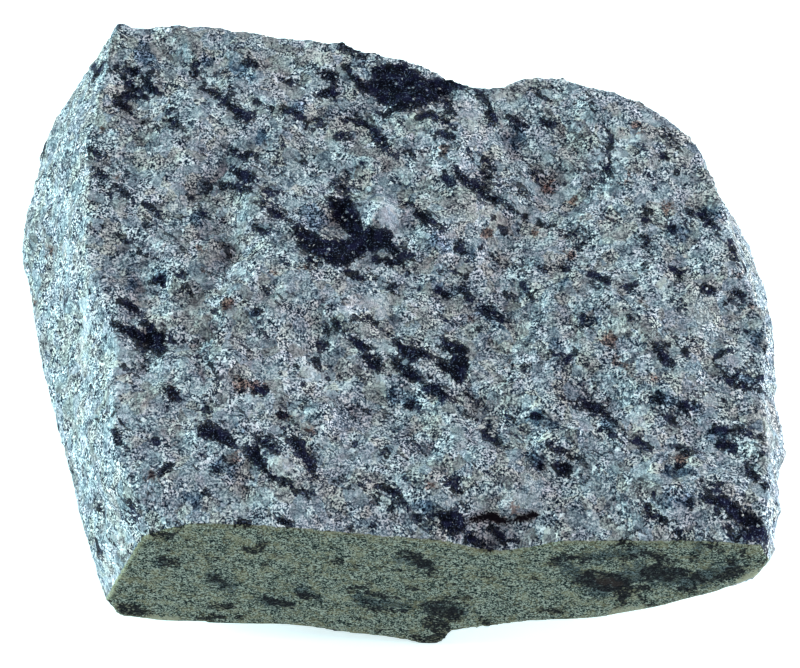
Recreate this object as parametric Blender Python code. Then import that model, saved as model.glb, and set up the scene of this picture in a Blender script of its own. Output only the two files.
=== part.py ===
"""Anorthosite hand specimen: a hammer-trimmed block of grey feldspar rock with one sawn face.

The block is one piece of stone. Seen from above it is a four-sided slab, longest along X. Its front
is a flat saw cut, and its top, back, left and right are rough broken faces. The underside bulges
like a shallow bowl and ends in a small flat spot, the foot, on which the stone rests.

Lengths below are in millimetres until they are turned into metres at the very end.
"""

import math

import bmesh
import bpy
from mathutils import Matrix, Vector, noise

# Overall sizes of the stone
TOP_HEIGHT = 38.0
FOOT_SHARE = 0.47  # the foot's width and depth as a share of the underside's
FOOT_WANDER = 0.35  # how far the foot's outline wanders, as a share of its own radius
FOOT_BENDS = 1.7  # how often it does so
FOOT_SEED = Vector((4.0, 9.0, 1.0))
BOWL_POWER = 1.2  # above 1 the underside rises gently at first and then faster

# The saw cut: a plane that leans out by a twentieth towards its lower edge
SAW_Y = -43.6  # at X = 0 and at the height of the top
SAW_TURN = -0.03  # change of Y per millimetre of X
SAW_LEAN = 0.05  # change of Y per millimetre of height

# Edges of the top face, in plan, each from its first corner to its last
TOP_BACK = [
    (-45.5, 47.2), (-41.0, 46.6), (-29.5, 46.2), (-18.5, 44.4), (-9.0, 43.3), (-6.3, 41.8),
    (0.5, 40.4), (6.5, 37.2), (11.8, 34.5), (16.5, 34.4), (20.4, 36.7), (25.2, 36.9),
    (31.3, 34.3), (38.0, 32.2), (43.2, 28.0),
]
TOP_RIGHT = [
    (53.9, -45.3), (55.2, -35.5), (55.4, -19.5), (56.6, -12.5), (56.3, -7.2), (53.4, 0.0),
    (51.2, 9.0), (49.2, 19.0), (46.8, 24.6), (43.2, 28.0),
]
TOP_LEFT = [
    (-38.6, -42.7), (-38.8, -40.0), (-40.7, -35.5), (-43.1, -28.8), (-43.8, -20.0), (-43.3, -12.5),
    (-44.9, -7.2), (-48.8, 3.5), (-49.1, 15.3), (-49.2, 25.7), (-47.6, 36.0), (-45.5, 47.2),
]
# Upper and lower edge of the saw cut, as X and height
SAW_UPPER = [
    (-38.6, 32.9), (-35.4, 35.0), (-30.8, 37.7), (-22.3, 37.5), (-14.9, 36.7), (-2.4, 35.0),
    (6.0, 34.2), (12.0, 31.7), (15.5, 31.5), (19.3, 32.7), (23.0, 34.8), (29.8, 35.5),
    (44.5, 36.1), (53.9, 35.4),
]
SAW_LOWER = [
    (-45.7, 11.9), (-44.0, 6.9), (-37.0, 5.0), (-16.0, 5.0), (-9.8, 3.5), (0.0, 1.2), (2.8, 0.0),
    (7.0, 0.0), (8.0, 4.6), (15.5, 7.4), (20.0, 9.0), (30.0, 10.4), (39.0, 14.6), (47.4, 20.1),
    (53.6, 25.4), (55.5, 31.0),
]
# The belly, where the walls turn in under the stone, as X, Y and height
BELLY_LEFT = [
    (-45.7, -43.5, 11.9), (-46.5, -41.5, 13.0), (-48.6, -34.6, 14.0), (-54.2, -15.2, 14.0),
    (-57.8, -2.2, 14.0), (-60.6, 12.1, 14.0), (-62.2, 18.0, 14.0), (-60.6, 30.2, 14.0),
    (-57.8, 43.6, 14.0),
]
BELLY_BACK = [
    (-57.8, 43.6, 14.0), (-42.0, 47.0, 12.0), (-20.0, 46.5, 11.0), (0.0, 42.5, 13.0),
    (14.0, 38.5, 15.0), (30.0, 37.3, 15.0), (46.6, 30.2, 19.0),
]
BELLY_RIGHT = [
    (55.5, -45.6, 31.0), (56.8, -42.0, 27.5), (57.5, -37.5, 22.5), (58.9, -33.0, 22.0),
    (58.0, -28.2, 22.0), (60.3, -23.0, 22.0), (58.5, -18.8, 22.0), (59.5, -11.0, 22.0),
    (59.3, 1.8, 22.0), (57.5, 9.9, 22.0), (55.5, 17.7, 22.0), (51.6, 24.6, 20.5),
    (46.6, 30.2, 19.0),
]

# How finely the stone is cut up: cells along X, along Y and up the walls
CELLS_X = 44
CELLS_Y = 34
CELLS_UP = 10
CELL_WANDER = 0.56  # how far a grid line's points stray, as a share of a cell
WANDER_ALONG, WANDER_ACROSS = 31.0, 9.7  # how fast the straying changes over the unit cube
MILLIMETRE = 0.001
TINY = 1e-6

# Broken relief: heights and spacings of its lumps, flakes and grooves
FOLIATION = Matrix.Rotation(math.radians(32), 3, "Z")  # turns the streaks, which run from back left
# to front right, onto the X axis
SWELL_HEIGHT, SWELL_SPACING = 0.9, 34.0
GROOVE_HEIGHT, GROOVE_SPACING, GROOVE_STRETCH = 0.65, 6.5, 3.0
GROOVE_FADE, GROOVE_GAIN, GROOVE_OCTAVES = 0.8, 2.1, 3  # finer grooves lie on the coarse ones
LEDGE_STEP, LEDGE_SPACING, LEDGE_STRETCH = 0.85, 13.0, 1.9
LEDGES_EACH = 2.6  # ledges for each unit of the noise that they follow
LEDGE_STEEPNESS = 4.0
FLAKE_SIZE, FLAKE_TILT, FLAKE_STEP = 8.0, 0.17, 0.35
CHIP_SIZE, CHIP_TILT, CHIP_STEP = 17.0, 0.19, 0.8  # the underside's and walls' larger flakes
COARSE_SHARE = 0.8  # share of the finer relief that lies on the larger flakes
CREASE = 4  # a higher power makes the creases between flakes sharper
SWELL_SEED = Vector((1.5, 8.5, 4.5))
GROOVE_SEED = Vector((11.0, 3.0, 7.0))
LEDGE_SEED = Vector((21.0, 6.0, 13.0))
FLAKE_SEED = Vector((5.0, 17.0, 2.0))
FLAKE_SHUFFLE = 7.3  # spreads the flakes' centres, so that each one gets its own tilt

# Details of the top face: X, Y, radius along the foliation, radius across it, height
TOP_LUMPS = [
    (2.0, 35.0, 10.5, 5.0, -1.3),  # the hollow that the large dark patch lies in
    (-2.8, 11.3, 3.2, 3.0, 1.2),  # light lump inside the hooked dark patch
    (-10.5, 9.5, 9.0, 4.0, -0.8),  # the hooked patch's hollow
    (-17.7, -32.8, 4.0, 3.0, 1.1),  # light lump near the front left
    (-34.0, 38.0, 7.0, 3.0, -0.7),
    (10.0, -21.0, 6.5, 3.0, -0.9),
    (-45.0, -9.0, 4.0, 3.0, 0.9),
    (49.0, -31.0, 7.5, 2.6, -0.9),
]
LUMP_CORE, LUMP_FADE = 0.55, 0.6  # a lump is level inside, and falls away over the second share
LEDGE_FROM, LEDGE_TO = 9.0, 24.0  # X of the broken ledge behind the saw cut
LEDGE_DEPTH, LEDGE_DROP = 3.4, 1.3  # how far behind the saw cut it stands, and its height
LEDGE_END, LEDGE_LIP = 2.5, 0.6  # lengths over which it fades at its ends and falls

# The walls
WALL_BULGE = 0.9
RIGHT_BULGE = -0.6  # the right wall is a little hollow between its two edges
SAW_CALM = 7.0  # the walls' relief dies down over this distance from the saw cut
CORNER_CALM = 14.0  # and over this distance from the two back corners
UNDER_LENGTH, UNDER_DEPTH = 115.0, 90.0  # rough size of the underside

BEVEL_WIDTH = 7.5  # the top's worn band along the saw cut
RIM_CALM = 5.0  # the relief dies down over this distance from the top's edges
RIM_RELIEF = 0.35  # what is left of the relief on the edge itself
FOOT_CALM, BELLY_CALM = 0.33, 0.25  # shares of the underside over which its relief dies down
SHOULDER = 0.15  # the least height of the underside away from the foot

STONE_COLOUR = (0.27, 0.31, 0.33, 1.0)
STONE_ROUGHNESS = 0.85


def saw_y(x, z):
    """Y of the saw cut at this X and height."""
    return SAW_Y + SAW_TURN * x + SAW_LEAN * (z - TOP_HEIGHT)


def in_plan(points):
    """Plan points of the top's edge, raised to the height of the top."""
    return [Vector((x, y, TOP_HEIGHT)) for x, y in points]


def on_saw(points):
    """Points of the saw cut, given as X and height."""
    return [Vector((x, saw_y(x, z), z)) for x, z in points]


def along(points, share):
    """The point at this share of the line through these points."""
    lengths = [(b - a).length for a, b in zip(points, points[1:])]
    left = share * sum(lengths)
    for a, b, length in zip(points, points[1:], lengths):
        if left <= length:
            return a.lerp(b, left / length)
        left -= length
    return points[-1].copy()


def patch(front, back, left, right, u, v):
    """The point (u, v) of the curved patch that spans four edges (a Coons patch)."""
    across = along(front, u).lerp(along(back, u), v)
    depth = along(left, v).lerp(along(right, v), u)
    corners = front[0].lerp(front[-1], u).lerp(back[0].lerp(back[-1], u), v)
    return across + depth - corners


def ease(t):
    """0 to 1 with soft ends."""
    t = min(1.0, max(0.0, t))
    return t * t * (3.0 - 2.0 * t)


TOP_EDGES = (on_saw(SAW_UPPER), in_plan(TOP_BACK), in_plan(TOP_LEFT), in_plan(TOP_RIGHT))
BELLY_EDGES = (on_saw(SAW_LOWER), *(
    [Vector(p) for p in line] for line in (BELLY_BACK, BELLY_LEFT, BELLY_RIGHT)
))


def stretched(p, spacing, stretch):
    """The point in a noise's own units, drawn out along the foliation."""
    q = FOLIATION @ p / spacing
    q.x /= stretch
    return q


def grooves(p):
    """Long lumps and grooves that follow the foliation, from -1 to 1."""
    q = stretched(p, GROOVE_SPACING, GROOVE_STRETCH) + GROOVE_SEED
    return noise.fractal(q, GROOVE_FADE, GROOVE_GAIN, GROOVE_OCTAVES)


def ledges(p):
    """Low steps between level stretches, along lines that wander with the foliation."""
    level = LEDGES_EACH * noise.noise(stretched(p, LEDGE_SPACING, LEDGE_STRETCH) + LEDGE_SEED)
    whole = math.floor(level)
    return LEDGE_STEP * (whole + ease((level - whole - 0.5) * LEDGE_STEEPNESS + 0.5))


def flakes(p, size, tilt, step):
    """Tilted flakes that meet in creases, as a hammer leaves them, in millimetres."""
    q = p / size + FLAKE_SEED
    distances, centres = noise.voronoi(q)
    farthest = distances.pop()
    height = total = 0.0
    for distance, centre in zip(distances, centres):
        lean = 2.0 * noise.cell_vector(centre * FLAKE_SHUFFLE) - Vector((1.0, 1.0, 1.0))
        weight = (farthest - distance) ** CREASE
        height += weight * (tilt * (q - centre).dot(lean) * size + step * lean.z)
        total += weight
    return height / max(total, TINY)


def relief(p):
    """How far the broken top stands out at this point, in millimetres."""
    swell = noise.noise(p / SWELL_SPACING + SWELL_SEED)
    fine = flakes(p, FLAKE_SIZE, FLAKE_TILT, FLAKE_STEP)
    return SWELL_HEIGHT * swell + GROOVE_HEIGHT * grooves(p) + ledges(p) + fine


def coarse_relief(p):
    """How far the walls and the underside stand out at this point, in millimetres."""
    return flakes(p, CHIP_SIZE, CHIP_TILT, CHIP_STEP) + COARSE_SHARE * relief(p)


def lumps(p):
    """The top's own lumps and hollows at this point, in millimetres."""
    height = 0.0
    for x, y, long, short, rise in TOP_LUMPS:
        offset = FOLIATION @ Vector((p.x - x, p.y - y, 0.0))
        away = math.hypot(offset.x / long, offset.y / short)
        height += rise * (1.0 - ease((away - LUMP_CORE) / LUMP_FADE))
    return height


def ledge(x, depth):
    """Drop of the broken ledge behind the saw cut, in millimetres."""
    inside = ease((x - LEDGE_FROM) / LEDGE_END) * ease((LEDGE_TO - x) / LEDGE_END)
    return LEDGE_DROP * inside * ease((LEDGE_DEPTH - depth) / LEDGE_LIP) * ease(depth / LEDGE_LIP)


def top_point(u, v):
    """A point of the broken top face."""
    p = patch(*TOP_EDGES, u, v)
    front, back, left, right = TOP_EDGES
    depth = (p - along(front, u)).xy.length
    to_rim = min((p - q).length for q in (along(back, u), along(left, v), along(right, v)))
    calm = RIM_RELIEF + (1.0 - RIM_RELIEF) * ease(to_rim / RIM_CALM)
    calm *= ease(depth / RIM_CALM)
    drop = (TOP_HEIGHT - along(front, u).z) * (1.0 - ease(depth / BEVEL_WIDTH))
    rough = relief(Vector((p.x, p.y, TOP_HEIGHT))) + lumps(p)
    p.z = TOP_HEIGHT - drop - ledge(p.x, depth) + calm * rough
    return p


def foot_radius(a, b):
    """Share of the way from the middle of the underside to its edge at which the foot ends."""
    ring = max(abs(a), abs(b), TINY)
    roundness = ring / math.hypot(ring, min(abs(a), abs(b)))
    wander = noise.noise(Vector((a, b, 0.0)) * FOOT_BENDS / ring + FOOT_SEED)
    return FOOT_SHARE * roundness * (1.0 + FOOT_WANDER * wander)


def under_point(u, v):
    """A point of the underside: a shallow broken bowl that ends in the flat foot."""
    p = patch(*BELLY_EDGES, u, v)
    a, b = 2.0 * u - 1.0, 2.0 * v - 1.0
    ring = max(abs(a), abs(b))
    edge = foot_radius(a, b)
    slope = max(0.0, (ring - edge) / (1.0 - edge))
    calm = ease(slope / FOOT_CALM) * ease((1.0 - ring) / BELLY_CALM)
    bowl = max(0.0, p.z) * slope ** BOWL_POWER
    rough = calm * coarse_relief(Vector((p.x, p.y, 0.0)))
    p.z = max(bowl - rough, min(bowl, SHOULDER))
    return p


def wall_point(u, v, up, outward):
    """A point of a broken wall between the underside's edge and the top's edge."""
    low, high = under_point(u, v), top_point(u, v)
    p = low.lerp(high, up)
    middle = math.sin(math.pi * up)
    to_back_corner = math.hypot(min(u, 1.0 - u) * UNDER_LENGTH, (1.0 - v) * UNDER_DEPTH)
    calm = ease((p.y - saw_y(p.x, p.z)) / SAW_CALM) * ease(to_back_corner / CORNER_CALM)
    bulge = RIGHT_BULGE if outward.x > abs(outward.y) else WALL_BULGE
    return p + outward * middle * calm * (bulge + coarse_relief(p))


def outward_at(u, v):
    """The direction in which the broken wall faces here; none on the saw cut."""
    outward = Vector((0.0, 0.0, 0.0))
    if u < TINY:
        outward.x = -1.0
    elif u > 1.0 - TINY:
        outward.x = 1.0
    if v > 1.0 - TINY:
        outward.y = 1.0
    return outward.normalized()


def stone_point(u, v, up):
    """Where a point of the unit cube lies on the stone."""
    if up > 1.0 - TINY:
        p = top_point(u, v)
    elif up < TINY:
        p = under_point(u, v)
    else:
        p = wall_point(u, v, up, outward_at(u, v))
    if v < TINY:
        p.y = saw_y(p.x, p.z)
    return p


def wandering(share, cells, other):
    """Moves a grid line's point a little along the grid, so that no row of facets is straight."""
    calm = math.sin(math.pi * share)
    stray = noise.noise(other * WANDER_ACROSS + Vector((1.0, 1.0, 1.0)) * share * WANDER_ALONG)
    return share + CELL_WANDER / cells * calm * stray


def sliced_cube():
    """A unit cube with one corner at the origin, sliced into cells."""
    bm = bmesh.new()
    bmesh.ops.create_cube(bm, size=1.0)
    bmesh.ops.translate(bm, verts=bm.verts, vec=(0.5, 0.5, 0.5))
    for axis, cells in enumerate((CELLS_X, CELLS_Y, CELLS_UP)):
        normal = Vector((0.0, 0.0, 0.0))
        normal[axis] = 1.0
        for cell in range(1, cells):
            bmesh.ops.bisect_plane(
                bm, geom=bm.verts[:] + bm.edges[:] + bm.faces[:],
                plane_co=normal * cell / cells, plane_no=normal,
            )
    return bm


def shape_stone(bm):
    """Moves every point of the sliced cube to its place on the stone."""
    for vert in bm.verts:
        u, v, up = vert.co
        seed = Vector((v, up, u))
        u, v = wandering(u, CELLS_X, seed), wandering(v, CELLS_Y, seed.zxy)
        up = wandering(up, CELLS_UP, seed.yzx)
        vert.co = stone_point(u, v, up)


def centre_on_foot(bm):
    """Puts the origin under the middle of the stone's box, on the plane of the foot."""
    low = Vector(min(v.co[i] for v in bm.verts) for i in range(3))
    high = Vector(max(v.co[i] for v in bm.verts) for i in range(3))
    middle = (low + high) / 2.0
    bmesh.ops.translate(bm, verts=bm.verts, vec=(-middle.x, -middle.y, -low.z))


def stone_material():
    """Pale grey feldspar rock."""
    material = bpy.data.materials.new("anorthosite")
    material.use_nodes = True
    shader = material.node_tree.nodes["Principled BSDF"]
    shader.inputs["Base Color"].default_value = STONE_COLOUR
    shader.inputs["Roughness"].default_value = STONE_ROUGHNESS
    shader.inputs["Metallic"].default_value = 0.0
    material.diffuse_color = STONE_COLOUR
    return material


def build_stone():
    """The stone as one object."""
    bm = sliced_cube()
    shape_stone(bm)
    bmesh.ops.triangulate(bm, faces=bm.faces[:], quad_method="SHORT_EDGE")
    bmesh.ops.recalc_face_normals(bm, faces=bm.faces[:])
    centre_on_foot(bm)
    bmesh.ops.scale(bm, verts=bm.verts, vec=(MILLIMETRE, MILLIMETRE, MILLIMETRE))
    mesh = bpy.data.meshes.new("anorthosite_block")
    bm.to_mesh(mesh)
    bm.free()
    mesh.materials.append(stone_material())
    stone = bpy.data.objects.new("anorthosite_block", mesh)
    specimen = bpy.data.collections.new("anorthosite_specimen")
    bpy.context.scene.collection.children.link(specimen)
    specimen.objects.link(stone)
    return stone


def main():
    """Clears the file and builds the stone."""
    for obj in list(bpy.data.objects):
        bpy.data.objects.remove(obj, do_unlink=True)
    build_stone()


main()
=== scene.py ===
"""Looks of an anorthosite hand specimen: one block of grey feldspar rock with a sawn front.

The block's fine surface is made from the fixed frame's solid: its broken faces get grain and
crystals in the mesh, and its sawn face stays flat. Dark streaks, rusty spots and pale lumps lie
where they do on the real stone; some of the pale marks are painted highlights on lit ledges and
lips, and the crack's dark fill is partly painted shadow. They are laid on the surface from their
places in the picture, which are read off it. Lengths are in metres unless a name ends in _mm or _px.
"""

from __future__ import annotations

import logging
import math
import random
from dataclasses import dataclass, field
from enum import Enum
from typing import Callable, Iterable

import bpy
import numpy as np
from mathutils import Matrix, Vector, noise
from mathutils.kdtree import KDTree

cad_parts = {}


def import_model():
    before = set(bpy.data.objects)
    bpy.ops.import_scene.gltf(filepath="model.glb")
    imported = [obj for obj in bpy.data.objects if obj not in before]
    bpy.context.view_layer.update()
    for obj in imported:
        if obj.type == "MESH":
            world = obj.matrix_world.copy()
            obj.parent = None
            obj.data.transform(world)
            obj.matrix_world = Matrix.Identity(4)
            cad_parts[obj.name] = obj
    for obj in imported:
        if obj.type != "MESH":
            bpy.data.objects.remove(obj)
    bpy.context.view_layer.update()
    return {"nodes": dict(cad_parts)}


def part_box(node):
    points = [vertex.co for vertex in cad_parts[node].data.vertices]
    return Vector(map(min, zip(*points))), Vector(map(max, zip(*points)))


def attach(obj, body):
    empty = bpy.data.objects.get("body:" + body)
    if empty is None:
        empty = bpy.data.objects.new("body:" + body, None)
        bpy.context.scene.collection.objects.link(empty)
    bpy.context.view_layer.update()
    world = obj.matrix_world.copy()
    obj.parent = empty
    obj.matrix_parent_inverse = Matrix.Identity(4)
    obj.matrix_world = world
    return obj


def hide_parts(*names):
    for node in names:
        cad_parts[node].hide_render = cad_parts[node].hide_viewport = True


LOG = logging.getLogger("anorthosite")
MM = 0.001
MM_PER_METRE = 1000.0
SAW_FIELD = "saw_mm"
RIM_FIELD = "rim_mm"

Colour = tuple[float, float, float, float]
Edges = tuple[float, float]
Socket = bpy.types.NodeSocket
Value = Socket | float | tuple[float, ...]
# A dab is a round spot of the picture: x, y and radius in pixels.
Dab = tuple[float, float, float]
# On the stone it is a place and a radius in millimetres.
Laid = tuple[np.ndarray, float]


def srgb(red: int, green: int, blue: int) -> Colour:
    """A colour as seen on a screen, 0 to 255, as the linear numbers that a shader takes."""
    return tuple(_linear(part / 255.0) for part in (red, green, blue)) + (1.0,)


def _linear(part: float) -> float:
    """One screen channel, 0 to 1, made linear."""
    return part / 12.92 if part <= 0.04045 else ((part + 0.055) / 1.055) ** 2.4


class Feature(Enum):
    """What a mark on the stone is. The value is the name of its field on the mesh."""

    DARK = "dark_mm"
    SLATE = "slate_mm"
    RUST = "rust_mm"
    # Paler feldspar, and painted highlights on lit rims.
    PALE_AND_LIT = "pale_and_lit_mm"
    CRACK = "crack_mm"


@dataclass(frozen=True)
class Mark:
    """A streak, patch or spot: round dabs joined into a line."""

    feature: Feature
    dabs: tuple[Dab, ...]


def marks(feature: Feature, *chains: tuple[Dab, ...]) -> list[Mark]:
    """Marks of one kind.

    Args:
        feature: what they are made of.
        chains: the dabs of each mark.

    Returns:
        One mark for each chain.
    """
    return [Mark(feature, chain) for chain in chains]


BACK_LEFT_MARKS = marks(
    Feature.DARK,
    ((94, 78, 4), (99, 71, 5), (102, 64, 4)), ((107, 67, 2), (116, 68, 3)),
    ((129, 68, 4), (135, 71, 6), (141, 72, 4)),
    ((122, 77, 4), (129, 83, 5), (137, 89, 5), (145, 97, 4)),
    ((116, 97, 3), (127, 95, 4), (147, 98, 4)), ((142, 79, 3), (151, 86, 4), (160, 93, 3)),
    ((151, 72, 3), (156, 75, 3)), ((197, 65, 3), (195, 76, 4)),
    ((115, 102, 3), (122, 105, 5), (128, 109, 3), (136, 116, 2), (143, 122, 1.5)),
    ((157, 127, 2), (159, 130, 2)), ((171, 109, 2), (168, 117, 3), (173, 122, 5), (177, 126, 3)),
    ((90, 151, 4), (98, 155, 4), (108, 158, 3)),
    ((203, 88, 3), (210, 90, 4), (217, 96, 4), (225, 102, 4), (232, 107, 4), (239, 113, 7),
     (248, 118, 5), (254, 114, 3)), ((229, 86, 2), (231, 95, 3)), ((205, 105, 2), (214, 106, 2)),
    ((243, 60, 2), (250, 63, 4), (258, 65, 3)), ((255, 101, 2), (263, 105, 3), (271, 109, 3)),
    ((281, 77, 2), (286, 81, 3), (291, 84, 3)),
    ((234, 148, 3), (238, 155, 5), (246, 156, 4), (251, 153, 4), (256, 161, 3)),
    ((233, 168, 4), (240, 173, 6), (250, 178, 6), (257, 181, 3)), ((213, 74, 3), (216, 73, 2)),
    ((99, 172, 5), (108, 176, 3)), ((102, 189, 2), (112, 196, 2)), ((115, 185, 3), (125, 194, 4)),
    ((146, 203, 3), (152, 208, 4), (160, 216, 4)), ((205, 184, 3), (211, 187, 3)),
    ((202, 192, 2), (206, 192, 2)),
    ((218, 184, 2), (224, 187, 5), (232, 186, 3), (241, 189, 5), (251, 188, 3)),
    ((266, 192, 3), (279, 192, 3)), ((262, 203, 2), (270, 209, 4), (278, 214, 5), (286, 220, 3)),
    ((256, 226, 2), (262, 231, 4), (269, 234, 3)), ((146, 226, 3), (150, 227, 2)),
    ((120, 235, 3), (127, 242, 2)), ((103, 227, 3),), ((181, 218, 3),), ((220, 245, 2),),
)
BACK_MIDDLE_MARKS = marks(
    Feature.DARK,
    ((338, 44, 3), (348, 47, 4), (357, 52, 3), (364, 58, 2)),
    ((318, 71, 3), (325, 75, 6), (332, 76, 7), (335, 83, 3)),
    ((318, 95, 3), (325, 93, 5), (333, 93, 6), (336, 99, 3)),
    ((344, 67, 3), (350, 72, 4), (358, 82, 5), (367, 90, 5)),
    ((374, 70, 6), (390, 77, 14), (405, 84, 18), (420, 90, 14), (438, 88, 10), (452, 84, 7),
     (462, 86, 3)), ((374, 86, 8), (386, 96, 10), (400, 101, 11), (418, 100, 9), (434, 98, 6)),
    ((384, 70, 6), (404, 68, 6)), ((376, 111, 2), (385, 116, 4), (391, 111, 4)),
    ((444, 101, 3), (449, 107, 4), (455, 115, 3)),
    ((464, 87, 2), (472, 89, 2), (480, 93, 3), (486, 101, 3)),
    ((420, 117, 4), (430, 114, 5), (446, 122, 4), (455, 128, 3)),
    ((434, 135, 2), (443, 133, 4), (453, 138, 4)), ((403, 150, 2), (411, 151, 3), (416, 156, 3)),
    ((281, 110, 3), (287, 111, 4), (296, 113, 4), (304, 119, 3), (314, 120, 3), (324, 127, 3)),
    ((340, 119, 3), (352, 121, 4), (361, 122, 4), (369, 128, 5), (376, 136, 6), (383, 143, 6),
     (390, 150, 4), (396, 158, 2)), ((335, 136, 3), (341, 137, 5), (351, 138, 3)),
    ((355, 131, 2), (359, 131, 2)), ((345, 172, 3), (349, 173, 2)), ((283, 145, 3),),
    ((300, 158, 2), (303, 164, 3)), ((335, 182, 2), (339, 181, 2)),
)
HOOK_MARKS = marks(
    Feature.DARK,
    ((342, 187, 5), (351, 188, 4)),
    ((331, 197, 3), (337, 204, 8), (344, 213, 12), (352, 224, 10), (358, 234, 10)),
    ((348, 200, 6), (346, 208, 8)),
    ((358, 236, 8), (370, 240, 13), (384, 239, 10), (392, 248, 5), (399, 258, 5)),
    ((399, 258, 5), (402, 266, 4), (408, 273, 2)), ((382, 230, 4), (386, 240, 6)),
    ((366, 249, 6), (356, 246, 8)),
    ((288, 219, 2), (296, 226, 4), (305, 236, 8), (317, 244, 9), (331, 249, 11), (344, 252, 14),
     (354, 252, 10)), ((300, 244, 4), (316, 251, 6), (330, 259, 6), (346, 264, 4)),
    ((372, 258, 3), (382, 261, 4), (393, 263, 5)), ((345, 271, 3), (355, 275, 4), (362, 280, 4)),
    ((368, 270, 2), (377, 280, 2)), ((389, 287, 3), (402, 285, 2)), ((309, 260, 2), (316, 264, 4)),
    ((402, 248, 3), (406, 256, 4), (414, 258, 3)), ((297, 197, 3), (303, 198, 2)),
    ((407, 199, 2), (413, 206, 4), (419, 215, 5), (428, 220, 5), (436, 224, 4), (444, 229, 2)),
    ((455, 171, 3), (462, 177, 4), (471, 183, 5), (480, 190, 5), (490, 197, 5), (500, 201, 4),
     (506, 204, 2)), ((506, 206, 3), (513, 211, 2), (525, 217, 1.5), (536, 222, 1.5), (546, 228, 2)),
    ((443, 173, 3), (450, 185, 4)), ((460, 241, 3), (457, 249, 4), (464, 252, 3)), ((466, 260, 3),),
    ((482, 244, 3), (480, 250, 2)), ((438, 272, 2), (444, 276, 2), (452, 269, 2), (467, 276, 2)),
    ((431, 284, 2), (438, 291, 4), (448, 297, 4)),
    ((462, 285, 4), (466, 296, 4), (474, 302, 3), (484, 308, 4), (493, 314, 5), (501, 320, 4)),
)
BACK_RIGHT_MARKS = marks(
    Feature.DARK,
    ((488, 111, 4), (494, 117, 5), (492, 124, 3)),
    ((502, 115, 2), (510, 118, 4), (518, 122, 4), (526, 127, 3)),
    ((541, 120, 2), (548, 124, 5), (558, 124, 4)), ((534, 88, 2), (541, 92, 2)),
    ((592, 103, 2), (592, 109, 3)),
    ((605, 128, 2), (611, 137, 2), (612, 144, 2), (607, 151, 2), (606, 160, 3), (607, 172, 3)),
    ((642, 142, 2), (644, 149, 2)), ((470, 153, 3), (476, 157, 2)), ((484, 160, 4), (491, 167, 4)),
    ((482, 173, 3), (490, 178, 3), (499, 184, 3)), ((534, 174, 4), (538, 180, 2)),
    ((520, 192, 3), (526, 194, 2)), ((665, 133, 3), (672, 139, 2)), ((663, 157, 4), (667, 158, 2)),
    ((654, 187, 3),), ((678, 172, 3),), ((588, 188, 3),), ((644, 209, 3), (645, 221, 3)),
    ((651, 211, 3),), ((714, 175, 3),), ((672, 227, 4),), ((685, 223, 3),),
    ((690, 212, 4), (700, 216, 4), (708, 222, 5), (715, 229, 4)), ((647, 237, 4), (648, 245, 3)),
    ((505, 233, 3),), ((673, 269, 3), (679, 273, 5), (685, 272, 3)), ((642, 262, 2), (648, 268, 3)),
    ((560, 265, 3), (564, 270, 5)), ((705, 288, 5), (712, 292, 5)), ((727, 303, 4),),
    ((735, 292, 4), (743, 297, 4)), ((540, 267, 4), (546, 271, 2)),
    ((731, 242, 3), (734, 252, 4), (735, 260, 3)), ((619, 283, 3), (627, 287, 4), (635, 285, 3)),
    ((568, 235, 3),), ((590, 274, 4), (600, 278, 5), (608, 283, 4)), ((680, 300, 2), (687, 308, 2)),
    ((580, 242, 3), (581, 249, 4)), ((522, 285, 3), (528, 292, 3), (534, 303, 2)),
    ((627, 311, 3), (632, 320, 3)), ((603, 302, 2), (611, 308, 2)),
)
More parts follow.
